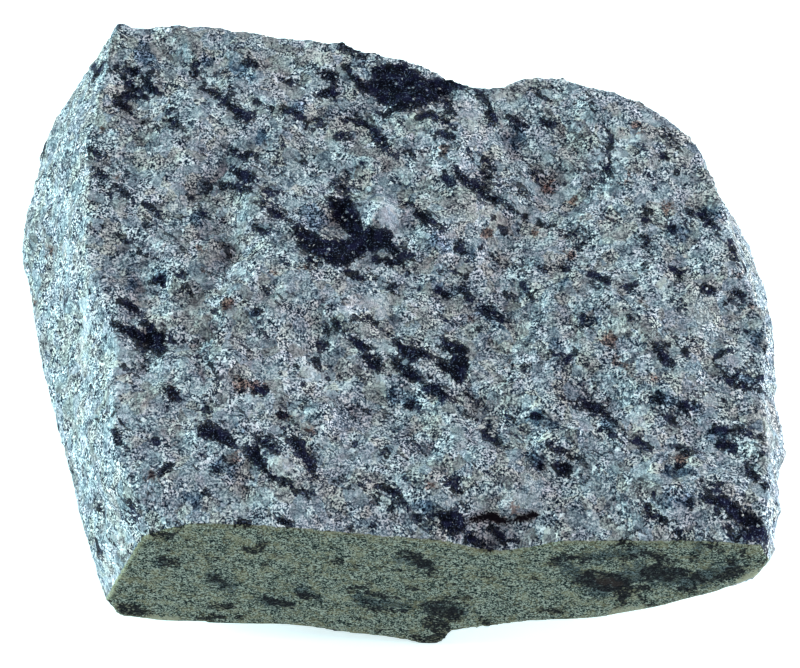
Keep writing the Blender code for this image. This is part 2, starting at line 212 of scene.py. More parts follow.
MIDDLE_MARKS = marks(
    Feature.DARK,
    ((120, 301, 3), (128, 305, 6), (137, 311, 4), (141, 317, 3)), ((183, 289, 3), (191, 293, 3)),
    ((157, 293, 3),), ((111, 323, 3), (117, 326, 4), (126, 330, 5), (135, 334, 6), (144, 338, 6)),
    ((138, 252, 2), (145, 255, 3)),
    ((143, 318, 3), (148, 326, 4), (152, 334, 7), (156, 342, 9), (160, 350, 6)),
    ((155, 260, 3), (159, 257, 2)), ((160, 334, 5), (168, 339, 5), (174, 343, 3)),
    ((151, 282, 3), (159, 280, 6), (163, 285, 3)), ((182, 274, 4),),
    ((199, 355, 2), (205, 359, 2), (213, 368, 1.5), (218, 375, 1.5)),
    ((245, 302, 3), (253, 308, 4), (259, 313, 3)), ((167, 389, 3), (172, 394, 5), (179, 399, 3)),
    ((244, 391, 4),), ((258, 390, 5), (267, 390, 4)), ((215, 309, 4),), ((345, 300, 2),),
    ((352, 320, 2), (360, 316, 3), (371, 318, 3), (377, 326, 2)), ((327, 330, 3), (330, 328, 2)),
    ((333, 321, 2), (340, 326, 4), (347, 330, 3)), ((380, 329, 2), (388, 334, 2), (395, 341, 3)),
    ((353, 339, 4), (360, 345, 6), (368, 349, 4)), ((364, 356, 5), (371, 362, 7), (378, 368, 5)),
    ((312, 354, 3), (314, 362, 4), (320, 367, 3)),
    ((399, 344, 5), (405, 350, 7), (413, 355, 6), (420, 353, 6), (429, 359, 4)),
    ((386, 356, 2), (395, 360, 3), (401, 367, 5), (408, 372, 7), (415, 378, 5), (421, 379, 3)),
    ((441, 339, 3), (448, 346, 6), (456, 350, 8), (461, 353, 8), (461, 362, 8), (456, 369, 10),
     (459, 377, 8)), ((439, 361, 4), (446, 369, 5)),
    ((428, 386, 4), (437, 391, 6), (445, 396, 5), (453, 400, 3)), ((327, 377, 3),), ((302, 383, 3),),
    ((479, 328, 3),), ((552, 352, 3), (559, 354, 3)), ((566, 360, 5), (572, 357, 3)),
    ((653, 343, 2), (658, 350, 5), (664, 358, 6), (671, 362, 4)), ((663, 347, 2), (674, 343, 2)),
    ((749, 361, 3),), ((686, 338, 3), (693, 342, 4)), ((685, 353, 4),),
    ((713, 358, 2), (722, 354, 2), (729, 351, 3)), ((522, 369, 2),),
    ((718, 366, 2), (724, 372, 3), (731, 379, 4), (738, 383, 5), (745, 387, 5), (754, 389, 3),
     (761, 393, 2)), ((733, 370, 2), (742, 372, 2), (750, 375, 2), (761, 380, 2)),
    ((585, 316, 5), (582, 324, 3)), ((545, 365, 4),),
)
FRONT_LEFT_MARKS = marks(
    Feature.DARK,
    ((200, 420, 1.5), (207, 423, 2), (214, 427, 3)),
    ((201, 432, 5), (209, 431, 7), (217, 435, 7), (225, 439, 7), (232, 444, 5)),
    ((257, 437, 3), (264, 441, 6), (272, 447, 5), (279, 453, 2)),
    ((248, 450, 5), (255, 455, 8), (260, 463, 6), (266, 471, 4)),
    ((270, 474, 3), (278, 478, 3), (286, 482, 3), (292, 488, 2), (297, 493, 1.5)),
    ((113, 432, 3), (118, 439, 5), (121, 445, 2)),
    ((281, 424, 2), (288, 436, 4), (297, 443, 6), (303, 455, 6), (309, 464, 6), (312, 472, 4),
     (318, 479, 3)), ((305, 495, 3), (314, 498, 2)), ((163, 470, 4), (169, 466, 4)),
    ((120, 421, 2), (127, 428, 2)), ((208, 409, 4),),
    ((128, 502, 3), (131, 509, 4), (135, 515, 4), (137, 521, 2)), ((353, 444, 4),), ((386, 455, 4),),
    ((397, 436, 3),), ((280, 520, 4), (288, 523, 4)), ((240, 522, 4), (247, 525, 4)), ((217, 472, 4),),
    ((282, 414, 5),), ((156, 442, 4),),
    ((361, 478, 2), (370, 481, 3), (376, 486, 3), (384, 487, 3), (391, 492, 6), (399, 494, 3)),
    ((393, 503, 3), (391, 512, 2)), ((377, 496, 4),), ((446, 480, 3), (452, 485, 5), (458, 490, 4)),
    ((405, 479, 3),), ((371, 527, 4),), ((350, 529, 3),), ((408, 510, 2), (415, 517, 2), (425, 519, 2)),
    ((437, 513, 4), (446, 518, 6), (455, 518, 9), (461, 525, 7), (455, 530, 5)),
    ((443, 522, 5), (450, 528, 5)),
    ((468, 531, 3), (470, 538, 6), (478, 543, 3), (486, 549, 2), (491, 552, 2)),
    ((487, 523, 2), (492, 529, 3), (500, 535, 4), (508, 541, 4), (516, 541, 2)),
    ((413, 444, 3), (419, 446, 3)),
)
FRONT_RIGHT_MARKS = marks(
    Feature.DARK,
    ((484, 433, 4), (491, 438, 4), (499, 444, 3)), ((488, 424, 4),),
    ((467, 413, 2), (473, 417, 2), (480, 421, 3)), ((506, 416, 3), (515, 420, 2)),
    ((534, 415, 5), (542, 418, 3)), ((550, 441, 2), (551, 447, 4), (558, 451, 4)),
    ((558, 451, 3), (567, 455, 2), (578, 459, 1.5), (589, 465, 1.5), (598, 469, 2)),
    ((582, 476, 2), (588, 486, 1.5)), ((557, 465, 5), (564, 470, 7), (568, 475, 3)), ((557, 388, 3),),
    ((553, 402, 3),), ((540, 465, 4),), ((563, 397, 2), (570, 401, 4), (577, 405, 3)),
    ((579, 399, 2), (587, 404, 5), (595, 409, 6), (604, 413, 4), (612, 418, 2)),
    ((612, 418, 2), (620, 425, 1.5), (626, 433, 1.5), (629, 438, 2)),
    ((598, 428, 2), (606, 432, 3), (616, 436, 3), (628, 441, 3)),
    ((628, 441, 3), (637, 441, 5), (644, 445, 4), (651, 448, 2)),
    ((652, 398, 3), (658, 397, 4), (660, 402, 3)), ((677, 407, 2), (685, 405, 5), (690, 412, 3)),
    ((667, 416, 3), (672, 420, 3), (678, 424, 2)), ((694, 402, 3),),
    ((672, 448, 2), (680, 449, 4), (690, 451, 3)), ((715, 425, 2), (722, 428, 3), (730, 431, 4)),
    ((714, 431, 3),), ((717, 447, 3), (725, 444, 5), (733, 446, 4)), ((731, 452, 3),),
    ((738, 428, 3), (747, 433, 4), (755, 437, 2), (762, 438, 2)), ((761, 453, 3),),
    ((747, 466, 3), (750, 473, 5), (757, 479, 4)), ((766, 486, 5), (770, 491, 3)), ((677, 467, 3),),
    ((703, 498, 3), (712, 501, 5), (722, 502, 7), (731, 509, 8), (741, 516, 7), (751, 523, 8),
     (759, 531, 8), (766, 540, 5)), ((718, 488, 4), (722, 483, 3)), ((705, 491, 3), (712, 491, 3)),
    ((743, 536, 5), (753, 537, 4)), ((769, 536, 4),), ((728, 525, 3), (731, 534, 3), (737, 540, 4)),
    ((718, 511, 3),), ((647, 506, 4),), ((675, 493, 4),), ((690, 502, 3),),
    ((660, 517, 3), (665, 521, 4)), ((675, 521, 2),), ((675, 531, 3), (684, 532, 3), (678, 539, 3)),
    ((654, 495, 4),),
)
SLATE_MARKS = marks(
    Feature.SLATE,
    ((436, 286, 5), (446, 292, 7), (458, 290, 6)), ((470, 304, 6), (488, 314, 6), (500, 322, 4)),
    ((262, 133, 6), (260, 140, 5)), ((415, 506, 6), (428, 510, 8), (438, 515, 5)),
    ((665, 498, 6), (680, 500, 7), (696, 499, 6)), ((668, 488, 5),), ((612, 428, 8), (604, 422, 5)),
    ((657, 397, 4), (685, 406, 6), (699, 410, 5)), ((720, 215, 5), (700, 214, 6)),
    ((428, 388, 6), (440, 394, 7)), ((308, 212, 11), (318, 225, 10)), ((140, 50, 9), (150, 60, 8)),
    ((150, 88, 7),), ((232, 66, 6), (248, 76, 6)), ((395, 395, 8), (410, 402, 7)),
    ((236, 425, 6), (245, 430, 4)), ((160, 275, 9),), ((131, 278, 6), (134, 288, 5)), ((680, 235, 8),),
    ((520, 132, 8), (512, 142, 7)), ((564, 282, 5),), ((488, 425, 6),), ((535, 415, 8), (550, 425, 7)),
    ((540, 465, 6), (528, 455, 5)), ((450, 180, 7),), ((196, 503, 7), (186, 497, 5)),
    ((718, 436, 9), (728, 447, 6)), ((745, 378, 8),), ((756, 338, 8),), ((370, 70, 5), (356, 62, 8)),
    ((250, 308, 6),), ((220, 466, 8), (232, 470, 6)), ((592, 318, 8),), ((555, 346, 6),),
    ((672, 470, 8), (690, 472, 5)), ((206, 62, 6),), ((300, 108, 8),), ((330, 112, 8),),
    ((435, 240, 8), (445, 250, 6)), ((196, 220, 8),), ((470, 255, 6),),
    ((560, 562, 7), (600, 590, 11), (640, 572, 12), (690, 582, 11), (735, 566, 9)),
    ((585, 558, 6), (640, 552, 7)), ((360, 600, 8), (404, 606, 7)), ((266, 600, 8), (288, 604, 6)),
    ((212, 578, 7), (230, 588, 6)), ((160, 562, 6),), ((300, 590, 7), (316, 598, 5)),
    ((400, 558, 6), (428, 566, 7)), ((430, 606, 9), (462, 612, 8)), ((700, 548, 6),),
)
SAWN_MARKS = marks(
    Feature.DARK,
    ((153, 534, 3), (163, 536, 4), (172, 535, 3)), ((178, 528, 3),),
    ((160, 559, 3), (168, 562, 5), (176, 562, 4)), ((245, 549, 3), (254, 552, 4), (264, 545, 4)),
    ((332, 562, 3), (342, 561, 3)), ((208, 558, 3), (216, 559, 2)),
    ((123, 608, 6), (133, 609, 8), (142, 612, 4), (150, 613, 3)), ((109, 602, 3), (112, 610, 3)),
    ((356, 566, 3),), ((211, 577, 2), (218, 579, 4), (227, 585, 3)), ((210, 606, 3), (232, 606, 4)),
    ((297, 595, 3), (306, 596, 4), (316, 597, 3)), ((266, 598, 3), (278, 603, 5), (290, 605, 4)),
    ((200, 618, 3), (222, 618, 3)), ((237, 618, 2), (243, 616, 3)),
    ((398, 553, 3), (410, 555, 5), (420, 560, 5), (428, 566, 6), (434, 573, 5)),
    ((408, 588, 3), (416, 587, 2)), ((366, 592, 2), (378, 595, 3), (396, 598, 2)),
    ((366, 606, 3), (378, 610, 4)), ((388, 610, 2), (406, 611, 2)),
    ((424, 606, 2), (436, 602, 3), (450, 599, 2), (472, 597, 1.5)),
    ((430, 610, 4), (444, 612, 9), (456, 615, 7)), ((432, 622, 9), (442, 626, 9), (440, 636, 8)),
    ((412, 636, 3), (424, 640, 5), (438, 642, 4)), ((381, 630, 3),), ((480, 619, 3), (488, 621, 4)),
    ((489, 577, 3),), ((534, 578, 3),), ((553, 563, 5), (558, 560, 4), (570, 557, 4), (588, 560, 3)),
    ((577, 583, 3), (588, 578, 10), (602, 581, 12), (616, 584, 11), (627, 590, 9)),
    ((628, 585, 4), (646, 588, 4)), ((620, 594, 6), (624, 603, 4)), ((640, 597, 2), (650, 605, 3)),
    ((648, 574, 8), (656, 572, 11), (668, 574, 8), (680, 573, 5)),
    ((622, 560, 3), (632, 556, 3), (648, 553, 3), (660, 556, 5), (671, 562, 4)),
    ((620, 542, 4), (629, 544, 4)), ((683, 572, 3), (696, 576, 5), (704, 582, 3)),
    ((677, 588, 2), (688, 590, 4), (697, 588, 2)), ((692, 557, 2), (698, 558, 2)),
    ((720, 577, 5), (728, 574, 7), (738, 571, 7)), ((731, 562, 4),),
    ((764, 546, 3), (767, 553, 4), (764, 560, 3)), ((705, 545, 2), (722, 551, 2)),
    ((742, 551, 3), (748, 557, 2)), ((350, 590, 3), (372, 584, 2)), ((540, 610, 3), (560, 611, 3)),
)
LEFT_FACE_MARKS = marks(
    Feature.DARK,
    ((93, 64, 4), (97, 74, 4)), ((47, 142, 2), (42, 156, 3)), ((55, 165, 2), (50, 176, 2)),
    ((100, 508, 3), (104, 516, 2)), ((96, 540, 2), (100, 552, 2)), ((92, 388, 2),), ((97, 420, 2),),
    ((60, 212, 2),), ((66, 300, 2),), ((101, 474, 2),),
)
RUST_MARKS = marks(
    Feature.RUST,
    ((668, 207, 6),), ((637, 127, 6),), ((627, 178, 5),), ((608, 340, 7),), ((620, 362, 6),),
    ((655, 380, 5),), ((547, 187, 7),), ((228, 303, 7),), ((302, 268, 4),), ((118, 178, 5),),
    ((104, 131, 4),), ((50, 251, 5),), ((35, 302, 4),), ((206, 270, 5),), ((200, 252, 4),),
    ((272, 272, 4),), ((240, 385, 7), (262, 387, 6)), ((283, 416, 6),), ((510, 363, 4),),
    ((535, 232, 5),), ((573, 200, 5),), ((571, 255, 5),), ((680, 460, 6),), ((645, 305, 4),),
    ((752, 308, 5),), ((740, 275, 5),), ((445, 148, 6),), ((423, 128, 4),), ((233, 458, 6),),
    ((151, 477, 5),), ((171, 393, 5),), ((311, 432, 4),), ((408, 406, 4),), ((431, 483, 4),),
    ((486, 517, 4), (500, 519, 3)), ((515, 510, 5),), ((530, 520, 3),), ((486, 235, 5),),
    ((663, 450, 4),), ((470, 320, 5),), ((188, 564, 3), (194, 561, 2)), ((278, 556, 3),),
    ((262, 534, 3),), ((602, 581, 5), (618, 584, 4)), ((168, 567, 2),),
)
# Paler patches of feldspar; the thin chains along the ledge of the big dark patch and over the crack are
# painted highlights on lit rims.
PALE_AND_LIT_MARKS = marks(
    Feature.PALE_AND_LIT,
    ((374, 212, 10), (386, 212, 12), (392, 222, 6)), ((398, 232, 3), (402, 250, 2)),
    ((268, 462, 5), (280, 462, 10), (292, 470, 6)), ((386, 115, 2.5), (412, 114, 3), (438, 109, 2.5)),
    ((462, 102, 7), (470, 112, 9), (478, 128, 7)), ((243, 266, 7), (240, 272, 5)),
    ((475, 510, 6), (484, 506, 4)), ((512, 500, 9), (540, 508, 8)), ((529, 533, 6), (546, 529, 6)),
    ((514, 511, 3), (530, 508, 3)), ((112, 82, 8), (120, 86, 6)), ((480, 212, 10), (500, 220, 8)),
    ((493, 247, 3),), ((581, 368, 3),), ((515, 287, 3),), ((720, 290, 4),), ((170, 185, 7),),
    ((226, 212, 9),), ((308, 372, 10), (345, 395, 10)), ((340, 310, 7), (385, 305, 10)),
    ((625, 140, 9), (625, 155, 7)), ((660, 280, 9),), ((120, 350, 8), (118, 400, 7)),
    ((150, 618, 3), (176, 620, 4)), ((613, 612, 3), (640, 608, 3)), ((740, 582, 4), (756, 573, 4)),
    ((700, 598, 3), (712, 594, 3)), ((380, 380, 7),), ((150, 100, 8),), ((640, 415, 10),),
    ((118, 530, 7), (114, 560, 12), (106, 588, 9)), ((84, 300, 8), (82, 360, 8)), ((66, 250, 9),),
)
CRACK_MARKS = marks(
    Feature.CRACK,
    ((466, 522, 2), (476, 520, 3), (486, 517, 4), (495, 518, 4), (503, 522, 3)),
    ((503, 522, 2), (514, 521, 2), (525, 518, 3), (533, 515, 3), (537, 516, 2)),
)
ALL_MARKS = [
    *BACK_LEFT_MARKS, *BACK_MIDDLE_MARKS, *HOOK_MARKS, *BACK_RIGHT_MARKS, *MIDDLE_MARKS, *FRONT_LEFT_MARKS,
    *FRONT_RIGHT_MARKS, *SLATE_MARKS, *SAWN_MARKS, *LEFT_FACE_MARKS, *RUST_MARKS, *PALE_AND_LIT_MARKS, *CRACK_MARKS,
]


@dataclass(frozen=True)
class PictureView:
    """The camera that looks down on the stone from the front."""

    width_px: int = 800
    height_px: int = 668
    lens_mm: float = 150.0
    sensor_mm: float = 36.0
    elevation: float = math.radians(61.0)
    distance: float = 0.533
    target: tuple[float, float, float] = (0.000945, -0.002192, 0.019)
    nearest: float = 0.01
    farthest: float = 20.0
    pressed: float = 0.7

    @property
    def back(self) -> Vector:
        """The direction from the stone to the camera."""
        return Vector((0.0, -math.cos(self.elevation), math.sin(self.elevation)))

    @property
    def eye(self) -> Vector:
        """Where the camera stands."""
        return Vector(self.target) + self.back * self.distance

    @property
    def pixel(self) -> float:
        """The length of a pixel on the stone, straight across the view."""
        return self.sensor_mm / self.lens_mm * self.distance / self.width_px

    def ray(self, x_px: float, y_px: float) -> Vector:
        """Finds where a pixel of the picture looks.

        Args:
            x_px: how far the pixel is from the picture's left side.
            y_px: how far it is below the picture's top.

        Returns:
            The direction, one unit long.
        """
        share = self.sensor_mm / self.lens_mm / self.width_px
        across = (x_px - self.width_px / 2) * share
        upward = (self.height_px / 2 - y_px) * share
        up = Vector((0.0, math.sin(self.elevation), math.cos(self.elevation)))
        return (Vector((across, 0.0, 0.0)) + up * upward - self.back).normalized()

    def flatten(self, points: np.ndarray) -> np.ndarray:
        """The points pressed together along the view, so that round dabs look round in the picture."""
        back = np.array(self.back)
        return points - self.pressed * (points @ back)[..., None] * back

    def make_camera(self) -> bpy.types.Object:
        """Makes the camera and hands the scene to it.

        Returns:
            The camera.
        """
        data = bpy.data.cameras.new("picture_camera")
        data.lens = self.lens_mm
        data.sensor_width = self.sensor_mm
        data.clip_start = self.nearest
        data.clip_end = self.farthest
        camera = bpy.data.objects.new("picture_camera", data)
        camera.location = self.eye
        camera.rotation_euler = (math.pi / 2 - self.elevation, 0.0, 0.0)
        bpy.context.scene.collection.objects.link(camera)
        bpy.context.scene.camera = camera
        return camera


@dataclass(frozen=True)
class Foliation:
    """The direction in which the dark streaks run through the stone."""

    turn: float = math.radians(-36.0)
    dip: float = math.radians(14.0)

    @property
    def matrix(self) -> Matrix:
        """Turns the stone so that its streaks run along X."""
        return (Matrix.Rotation(self.turn, 3, "Z") @ Matrix.Rotation(self.dip, 3, "Y")).inverted()

    @property
    def direction(self) -> Vector:
        """The streaks' own direction."""
        return self.matrix.inverted() @ Vector((1.0, 0.0, 0.0))


@dataclass
class NodeSheet:
    """A material's nodes, with short ways to add the usual ones.

    A Mix node has sockets of the same name for each kind of value, so its sockets are picked by
    number: the share, the first value and the second.
    """

    name: str
    material: bpy.types.Material = field(init=False)
    number_inputs: tuple[int, int, int] = (0, 2, 3)
    number_output: int = 0
    colour_inputs: tuple[int, int, int] = (0, 6, 7)
    colour_output: int = 2

    def __post_init__(self) -> None:
        """Starts the material with its one shader."""
        self.material = bpy.data.materials.new(self.name)
        self.material.use_nodes = True
        self.tree = self.material.node_tree
        self.shader = self.tree.nodes["Principled BSDF"]

    def add(self, kind: str, inputs: dict | None = None, **settings: object) -> bpy.types.Node:
        """Adds a node.

        Args:
            kind: the node's type, without the words ShaderNode.
            inputs: values or sockets for its inputs, by name or number.
            settings: its own properties.

        Returns:
            The node.
        """
        node = self.tree.nodes.new("ShaderNode" + kind)
        for key, value in settings.items():
            setattr(node, key, value)
        for key, value in (inputs or {}).items():
            self.put(node.inputs[key], value)
        return node

    def put(self, socket: Socket, value: Value) -> None:
        """Fills an input.

        Args:
            socket: the input.
            value: a socket to link to it, or a value of its own.
        """
        if isinstance(value, bpy.types.NodeSocket):
            self.tree.links.new(value, socket)
        else:
            socket.default_value = value

    def sum(self, operation: str, *values: Value) -> Socket:
        """The result of a Math node on these values."""
        return self.add("Math", dict(enumerate(values)), operation=operation).outputs[0]

    def scale(self, value: Value, factor: Value, plus: Value = 0.0) -> Socket:
        """A value times a factor, plus something."""
        return self.sum("MULTIPLY_ADD", value, factor, plus)

    def vector(self, operation: str, *values: Value) -> Socket:
        """The result of a Vector Math node on these values, a number for a dot product."""
        node = self.add("VectorMath", dict(enumerate(values)), operation=operation)
        return node.outputs["Value" if operation == "DOT_PRODUCT" else "Vector"]

    def step(self, value: Value, low: float, high: float) -> Socket:
        """Turns a value into a share, with a soft slope from 0 to 1.

        Args:
            value: what is measured.
            low: where the share is 0.
            high: where it is 1; this may be the smaller of the two.

        Returns:
            The share.
        """
        inputs = {"Value": value, "From Min": low, "From Max": high}
        node = self.add("MapRange", inputs, interpolation_type="SMOOTHSTEP", clamp=True)
        return node.outputs["Result"]

    def mix(self, share: Value, first: Value, second: Value, blend: str = "MIX") -> Socket:
        """Mixes two colours.

        Args:
            share: how much of the second there is.
            first: a colour.
            second: the colour that is laid on it.
            blend: how it is laid on.

        Returns:
            The mixed colour.
        """
        inputs = dict(zip(self.colour_inputs, (share, first, second)))
        return self.add("Mix", inputs, data_type="RGBA", blend_type=blend).outputs[self.colour_output]

    def between(self, share: Value, first: Value, second: Value) -> Socket:
        """A number between two others."""
        inputs = dict(zip(self.number_inputs, (share, first, second)))
        return self.add("Mix", inputs, data_type="FLOAT").outputs[self.number_output]

    def ramp(self, value: Value, stops: Iterable[tuple[float, Colour]]) -> Socket:
        """Runs a value through a colour ramp.

        Args:
            value: the place on the ramp, from 0 to 1.
            stops: the ramp's places and colours.

        Returns:
            The colour.
        """
        node = self.add("ValToRGB", {"Fac": value})
        elements = node.color_ramp.elements
        stops = list(stops)
        while len(elements) < len(stops):
            elements.new(0.5)
        for element, (place, colour) in zip(elements, stops):
            element.position = place
            element.color = colour
        return node.outputs["Color"]

    def grain(self, place: Value, size_mm: float, detail: float = 2.0, harsh: float = 0.55) -> Socket:
        """Cloudy noise around 0.5.

        Args:
            place: the point, in millimetres.
            size_mm: the size of its clouds.
            detail: how many finer layers lie on it.
            harsh: how strong those are.

        Returns:
            The noise's value.
        """
        inputs = {"Vector": place, "Scale": 1.0 / size_mm, "Detail": detail, "Roughness": harsh}
        return self.add("TexNoise", inputs).outputs["Fac"]

    def crystals(self, place: Value, size_mm: float) -> bpy.types.Node:
        """Cells of one colour each, as crystals lie."""
        return self.add("TexVoronoi", {"Vector": place, "Scale": 1.0 / size_mm})

    def share(self, cells: bpy.types.Node, part: int) -> Socket:
        """A number from 0 to 1 that each cell draws for itself, one of three."""
        return self.add("SeparateColor", {"Color": cells.outputs["Color"]}).outputs[part]

    def field(self, name: str) -> Socket:
        """A field that the mesh carries."""
        return self.add("Attribute", attribute_name=name).outputs["Fac"]

    def facets(self, place: Value, cells: bpy.types.Node) -> Socket:
        """Measures the crystals' own faces, each tilted in its own way.

        Args:
            place: the point, in millimetres.
            cells: the crystals.

        Returns:
            The height of the faces, before it is scaled.
        """
        away = self.vector("SUBTRACT", place, cells.outputs["Position"])
        lean = self.vector("SUBTRACT", cells.outputs["Color"], (0.5, 0.5, 0.5))
        return self.vector("DOT_PRODUCT", away, lean)


@dataclass(frozen=True)
class Patches:
    """Patches of noise, and the two values of it between which they fade in."""

    size_mm: float
    edges: Edges
    most: float = 1.0
    detail: float = 2.0
    harsh: float = 0.55

    def lay(self, sheet: NodeSheet, place: Value) -> Socket:
        """The patches' share at a place, from 0 to most."""
        cloud = sheet.grain(place, self.size_mm, self.detail, self.harsh)
        return sheet.scale(sheet.step(cloud, *self.edges), self.most)


@dataclass(frozen=True)
class Ragged:
    """How a mark's edge strays: it wanders in clouds, and whole grains fall in or out of it."""

    size_mm: float
    wander_mm: float
    jump_mm: float
    detail: float
    harsh: float

    def lay(self, sheet: NodeSheet, place: Value, cells: bpy.types.Node) -> Socket:
        """Measures how far the edge strays at a place.

        Args:
            sheet: the material's nodes.
            place: the point, in millimetres.
            cells: the grains that jump.

        Returns:
            The distance in millimetres, to either side of 0.
        """
        cloud = sheet.grain(place, self.size_mm, self.detail, self.harsh)
        wander = sheet.scale(cloud, self.wander_mm, -self.wander_mm / 2)
        jump = sheet.scale(sheet.share(cells, 2), self.jump_mm, -self.jump_mm / 2)
        return sheet.sum("ADD", jump, wander)


@dataclass(frozen=True)
class BrokenStone:
    """Colour and height of the broken stone: crystals of feldspar with dark flecks between them.

    Edges are the two values between which a share goes from 0 to 1. Tones run from 0, the
    darkest feldspar, to 1, the lightest.
    """

    deep: Colour = srgb(24, 32, 46)
    slate: Colour = srgb(74, 86, 101)
    mid: Colour = srgb(123, 135, 145)
    pale: Colour = srgb(172, 176, 186)
    bright: Colour = srgb(228, 225, 230)
    cool_tones: tuple[float, ...] = (0.02, 0.24, 0.46, 0.68, 1.0)
    umber: Colour = srgb(88, 82, 80)
    tan: Colour = srgb(146, 142, 134)
    cream: Colour = srgb(206, 200, 186)
    warm_tones: tuple[float, ...] = (0.02, 0.24, 0.55, 0.95)
    mauve_tint: Colour = srgb(248, 240, 245)
    black: Colour = srgb(2, 3, 15)
    navy: Colour = srgb(30, 29, 60)
    # Painted highlight: the pale colour of the glints painted into the dark mineral.
    painted_glint: Colour = srgb(118, 128, 158)
    # The crack's fill: partly its own dark brown, partly painted shadow under its lip.
    crack_shade: Colour = srgb(27, 21, 28)
    rust_tint: Colour = srgb(214, 174, 164)
    slate_tint: Colour = srgb(196, 212, 230)

    bend_scale: float = 1.7
    crystal_bend_mm: float = 0.7
    fleck_bend_mm: float = 0.6
    crystal_mm: tuple[float, float, float] = (1.9, 0.85, 0.40)
    grit: Patches = Patches(0.30, (0.40, 0.60), detail=1.0, harsh=0.5)

    ragged: Ragged = Ragged(1.5, 2.2, 0.40, detail=2.0, harsh=0.5)
    zone_spread: float = 1.8
    zone_shrink_mm: float = 0.15
    zone_edges: Edges = (0.5, -0.5)
    zone_tones: tuple[tuple[Feature, float], ...] = (
        (Feature.SLATE, -0.20),
        # Lightens the pale marks: paler feldspar, and painted highlight on lit rims.
        (Feature.PALE_AND_LIT, 0.17),
        (Feature.RUST, -0.14),
    )

    base_tone: float = 0.12
    crystal_tones: tuple[float, float] = (0.11, 0.26)
    flake_tone: float = 0.42
    grit_tone: float = 0.50
    busy_least: float = 0.3
    busy_range: float = 1.4
    pale_calm: float = -0.4
    cloud_tone: float = 0.46
    cloud_mm: float = 2.2
    seam_width: float = 0.10
    # Darkening on the lines between crystals: partly their own dark boundaries, partly painted shade.
    seam_painted_shade: float = -0.16

    warm_patch_mm: float = 6.0
    warm_crystal: float = 0.50
    warm_edges: Edges = (0.66, 0.98)
    warm_most: float = 0.55
    mauve: Patches = Patches(3.0, (0.44, 0.58))

    mark_edges: Edges = (0.06, -0.06)
    mark_gap_edges: Edges = (0.985, 0.975)
    mark_cover: float = 0.92
    mark_cover_more: float = 0.07
    mark_core_edges: Edges = (0.0, -0.6)
    fleck_mm: float = 0.42
    fleck_cloud_mm: float = 3.4
    fleck_cloud: float = -1.5
    fleck_chance: float = 0.69
    fleck_near_mark: float = 0.24
    fleck_near_edges: Edges = (1.6, 0.0)
    fleck_in_pale: float = -0.25
    fleck_edges: Edges = (0.015, -0.015)
    fleck_cover: float = 0.78

    blue_faces: Patches = Patches(1.4, (0.46, 0.62), 0.5)
    # Where the painted glints lie: painted highlights on the dark mineral.
    painted_glints: Patches = Patches(0.26, (0.60, 0.70), 0.50, detail=1.0, harsh=0.5)
    crack_wander: float = 0.22
    crack_grit_mm: float = 0.20
    crack_edges: Edges = (0.42, 0.06)

    coarse_height: float = 0.34
    fine_height: float = 0.62
    grit_height_mm: float = 0.10

    def lay(self, sheet: NodeSheet, place: Value, along: Value) -> tuple[Socket, Socket]:
        """Lays out the nodes.

        Args:
            sheet: the material's nodes.
            place: the point, in millimetres.
            along: the same point, turned and drawn out along the foliation.

        Returns:
            The colour, and the height in millimetres.
        """
        bend = {"Vector": place, "Scale": self.bend_scale, "Detail": 2.0}
        warp = sheet.add("TexNoise", bend).outputs["Color"]
        warped = sheet.vector("MULTIPLY_ADD", warp, (self.crystal_bend_mm,) * 3, place)
        drawn = sheet.vector("MULTIPLY_ADD", warp, (self.fleck_bend_mm,) * 3, along)
        coarse, fine, speck = (sheet.crystals(warped, size) for size in self.crystal_mm)
        grit = self.grit.lay(sheet, place)
        ragged = self.ragged.lay(sheet, place, speck)
        loose = sheet.scale(ragged, self.zone_spread, self.zone_shrink_mm)
        inside = {
            feature: sheet.step(sheet.sum("ADD", sheet.field(feature.value), loose), *self.zone_edges)
            for feature, _ in self.zone_tones
        }
        tone = self._tone(sheet, (coarse, fine, speck), (grit, inside[Feature.PALE_AND_LIT]), along)
        for feature, change in self.zone_tones:
            tone = sheet.scale(inside[feature], change, tone)
        # Painted shade in the gaps between crystals, partly their own dark boundaries.
        tone = sheet.scale(self._shaded_seam(sheet, warped), self.seam_painted_shade, tone)
        colour = self._crystal_colour(sheet, place, coarse, tone)
        for feature, tint in ((Feature.SLATE, self.slate_tint), (Feature.RUST, self.rust_tint)):
            colour = sheet.mix(inside[feature], colour, tint, "MULTIPLY")
        dark = self._dark(sheet, (drawn, along), (speck, ragged, inside[Feature.PALE_AND_LIT]))
        colour = sheet.mix(dark, colour, self._dark_colour(sheet, place))
        # The crack's dark fill, partly its own colour and partly painted shadow in the groove.
        crack_shade = sheet.scale(ragged, self.crack_wander, sheet.field(Feature.CRACK.value))
        crack_shade = sheet.scale(grit, self.crack_grit_mm, crack_shade)
        colour = sheet.mix(sheet.step(crack_shade, *self.crack_edges), colour, self.crack_shade)
        height = sheet.scale(sheet.facets(warped, coarse), self.coarse_height)
        height = sheet.scale(sheet.facets(warped, fine), self.fine_height, height)
        height = sheet.scale(grit, self.grit_height_mm, height)
        return colour, height

    def _shaded_seam(self, sheet: NodeSheet, warped: Value) -> Socket:
        """Finds the lines between the fine crystals, which are darkened: partly their own dark boundaries,
        partly painted shade in the gaps.

        Args:
            sheet: the material's nodes.
            warped: the point, in millimetres, bent as the crystals are.

        Returns:
            1 on the lines and 0 off them.
        """
        inputs = {"Vector": warped, "Scale": 1.0 / self.crystal_mm[1]}
        cells = sheet.add("TexVoronoi", inputs, feature="DISTANCE_TO_EDGE")
        return sheet.step(cells.outputs["Distance"], self.seam_width, 0.0)

